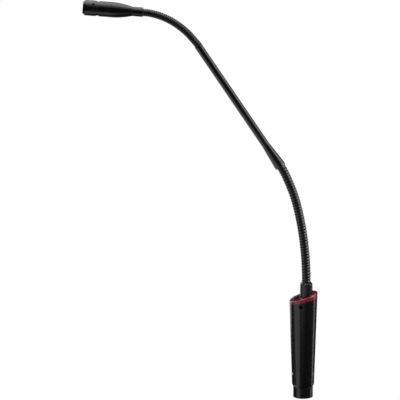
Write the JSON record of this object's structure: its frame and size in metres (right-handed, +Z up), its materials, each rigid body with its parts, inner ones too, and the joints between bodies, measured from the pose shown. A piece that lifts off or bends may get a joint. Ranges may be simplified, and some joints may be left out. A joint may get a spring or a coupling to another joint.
{
  "type": "gooseneck podium microphone",
  "caption": "Slim gooseneck microphone with a tapered XLR handle, slanted red light cap with a mute button, jointed bendable neck and a cylindrical head.",
  "frame": {"origin": "centre of the open lower end of the XLR plug shell", "axes": "+Z up along the handle's axis, away from the socket; -Y towards the talker, where the neck leans; X is sideways, square to the neck's plane"},
  "size_m": [0.0272, 0.226, 0.3945],
  "materials": {
    "handle_paint": "satin black powder coat",
    "plug_metal": "black oxide, worn at the rim",
    "black_plastic": "moulded, matte",
    "pin_metal": "gold plated",
    "screw_metal": "zinc plated",
    "dark_screw": "black oxide",
    "circuit_board": "green solder mask",
    "capacitor_sleeve": "shrink sleeve with bare aluminium top",
    "wire_sleeve": "thin insulation",
    "collar_paint": "satin black",
    "led_body": "moulded chip lamp",
    "cable_sleeve": "soft jacket",
    "button_rubber": "soft-touch",
    "tube_paint": "semi-gloss black",
    "gooseneck_wire": "wound wire, black plated",
    "head_paint": "satin black",
    "grille_metal": "punched sheet, black",
    "felt": "thin acoustic felt",
    "capsule_metal": "drawn can",
    "gasket_rubber": "soft moulded",
    "red_lens": "translucent, polished"
  },
  "bodies": {
    "base": {"housing": "handle_paint", "xlr_shell": "plug_metal", "xlr_insert": "black_plastic", "xlr_pins": "pin_metal", "xlr_screws": "screw_metal", "main_board": "circuit_board", "capacitors": "capacitor_sleeve", "chips": "black_plastic", "signal_wires": "wire_sleeve", "light_wires": "wire_sleeve", "neck_block": "black_plastic", "neck_collar": "collar_paint", "collar_nut": "screw_metal", "light_cap": "red_lens", "light_board": "circuit_board", "leds": "led_body", "tact_switch": "black_plastic", "cap_screw": "dark_screw", "base_cable": "cable_sleeve", "lower_gooseneck_0": "gooseneck_wire"},
    "button": {"mute_button": "button_rubber", "switch_plunger": "black_plastic"},
    "lower_link_1": {"lower_gooseneck_1": "gooseneck_wire", "lower_cable_1": "cable_sleeve"},
    "lower_link_2": {"lower_gooseneck_2": "gooseneck_wire", "lower_cable_2": "cable_sleeve"},
    "lower_link_3": {"lower_gooseneck_3": "gooseneck_wire", "lower_cable_3": "cable_sleeve"},
    "lower_link_4": {"lower_gooseneck_4": "gooseneck_wire", "lower_cable_4": "cable_sleeve"},
    "lower_link_5": {"lower_gooseneck_5": "gooseneck_wire", "lower_cable_5": "cable_sleeve"},
    "tube": {"lower_gooseneck_6": "gooseneck_wire", "rigid_tube": "tube_paint", "tube_cable": "cable_sleeve", "upper_gooseneck_0": "gooseneck_wire"},
    "upper_link_1": {"upper_gooseneck_1": "gooseneck_wire", "upper_cable_1": "cable_sleeve"},
    "upper_link_2": {"upper_gooseneck_2": "gooseneck_wire", "upper_cable_2": "cable_sleeve"},
    "upper_link_3": {"upper_gooseneck_3": "gooseneck_wire", "upper_cable_3": "cable_sleeve"},
    "upper_link_4": {"upper_gooseneck_4": "gooseneck_wire", "upper_cable_4": "cable_sleeve"},
    "upper_link_5": {"upper_gooseneck_5": "gooseneck_wire", "upper_cable_5": "cable_sleeve"},
    "head": {"upper_gooseneck_6": "gooseneck_wire", "head_sleeve": "head_paint", "head_taper": "head_paint", "head_barrel": "head_paint", "head_cap": "head_paint", "front_grille": "grille_metal", "felt_disc": "felt", "capsule": "capsule_metal", "capsule_gasket": "gasket_rubber", "head_board": "circuit_board", "capsule_wires": "wire_sleeve", "head_cable": "cable_sleeve"}
  },
  "joints": [
    {"name": "button_press", "type": "slide", "parent": "base", "child": "button", "axis": [0, 0.3256, -0.9455], "range_m": [0, 0.0008], "stiffness_N_per_m": 800, "springref_m": -0.0012},
    {"name": "lower_bend", "type": "hinge", "parent": "base", "child": "lower_link_1", "pos_m": [0, 0.00265, 0.12436], "axis": [1, 0, 0], "range_deg": [-8, 12]},
    {"name": "lower_side", "type": "hinge", "parent": "lower_link_1", "child": "lower_link_2", "pos_m": [0, 0.00145, 0.14423], "axis": [0, 0.9959, 0.0903], "range_deg": [-13, 13]},
    {"name": "lower_bend_3", "type": "hinge", "parent": "lower_link_2", "child": "lower_link_3", "pos_m": [0, -0.00095, 0.164], "axis": [1, 0, 0], "range_deg": [-8, 12]},
    {"name": "lower_bend_4", "type": "hinge", "parent": "lower_link_3", "child": "lower_link_4", "pos_m": [0, -0.00463, 0.18357], "axis": [1, 0, 0], "range_deg": [-8, 12]},
    {"name": "lower_side_5", "type": "hinge", "parent": "lower_link_4", "child": "lower_link_5", "pos_m": [0, -0.00985, 0.20279], "axis": [0, 0.9521, 0.3057], "range_deg": [-13, 13]},
    {"name": "lower_bend_6", "type": "hinge", "parent": "lower_link_5", "child": "tube", "pos_m": [0, -0.01736, 0.22121], "axis": [1, 0, 0], "range_deg": [-8, 12]},
    {"name": "upper_bend", "type": "hinge", "parent": "tube", "child": "upper_link_1", "pos_m": [0, -0.1046, 0.35378], "axis": [1, 0, 0], "range_deg": [-12.5, 15]},
    {"name": "upper_side", "type": "hinge", "parent": "upper_link_1", "child": "upper_link_2", "pos_m": [0, -0.11166, 0.36185], "axis": [0, 0.706, 0.7082], "range_deg": [-15, 15]},
    {"name": "upper_bend_3", "type": "hinge", "parent": "upper_link_2", "child": "upper_link_3", "pos_m": [0, -0.11977, 0.36887], "axis": [1, 0, 0], "range_deg": [-12.5, 15]},
    {"name": "upper_bend_4", "type": "hinge", "parent": "upper_link_3", "child": "upper_link_4", "pos_m": [0, -0.12879, 0.37467], "axis": [1, 0, 0], "range_deg": [-12.5, 15]},
    {"name": "upper_side_5", "type": "hinge", "parent": "upper_link_4", "child": "upper_link_5", "pos_m": [0, -0.13859, 0.37903], "axis": [0, 0.3347, 0.9423], "range_deg": [-15, 15]},
    {"name": "upper_bend_6", "type": "hinge", "parent": "upper_link_5", "child": "head", "pos_m": [0, -0.14895, 0.38176], "axis": [1, 0, 0], "range_deg": [-12.5, 15]}
  ],
  "couplings": [
    {"joint": "lower_bend_3", "follows": "lower_bend", "ratio": 1},
    {"joint": "lower_bend_4", "follows": "lower_bend", "ratio": 1},
    {"joint": "lower_side_5", "follows": "lower_side", "ratio": 1},
    {"joint": "lower_bend_6", "follows": "lower_bend", "ratio": 1},
    {"joint": "upper_bend_3", "follows": "upper_bend", "ratio": 1},
    {"joint": "upper_bend_4", "follows": "upper_bend", "ratio": 1},
    {"joint": "upper_side_5", "follows": "upper_side", "ratio": 1},
    {"joint": "upper_bend_6", "follows": "upper_bend", "ratio": 1}
  ]
}
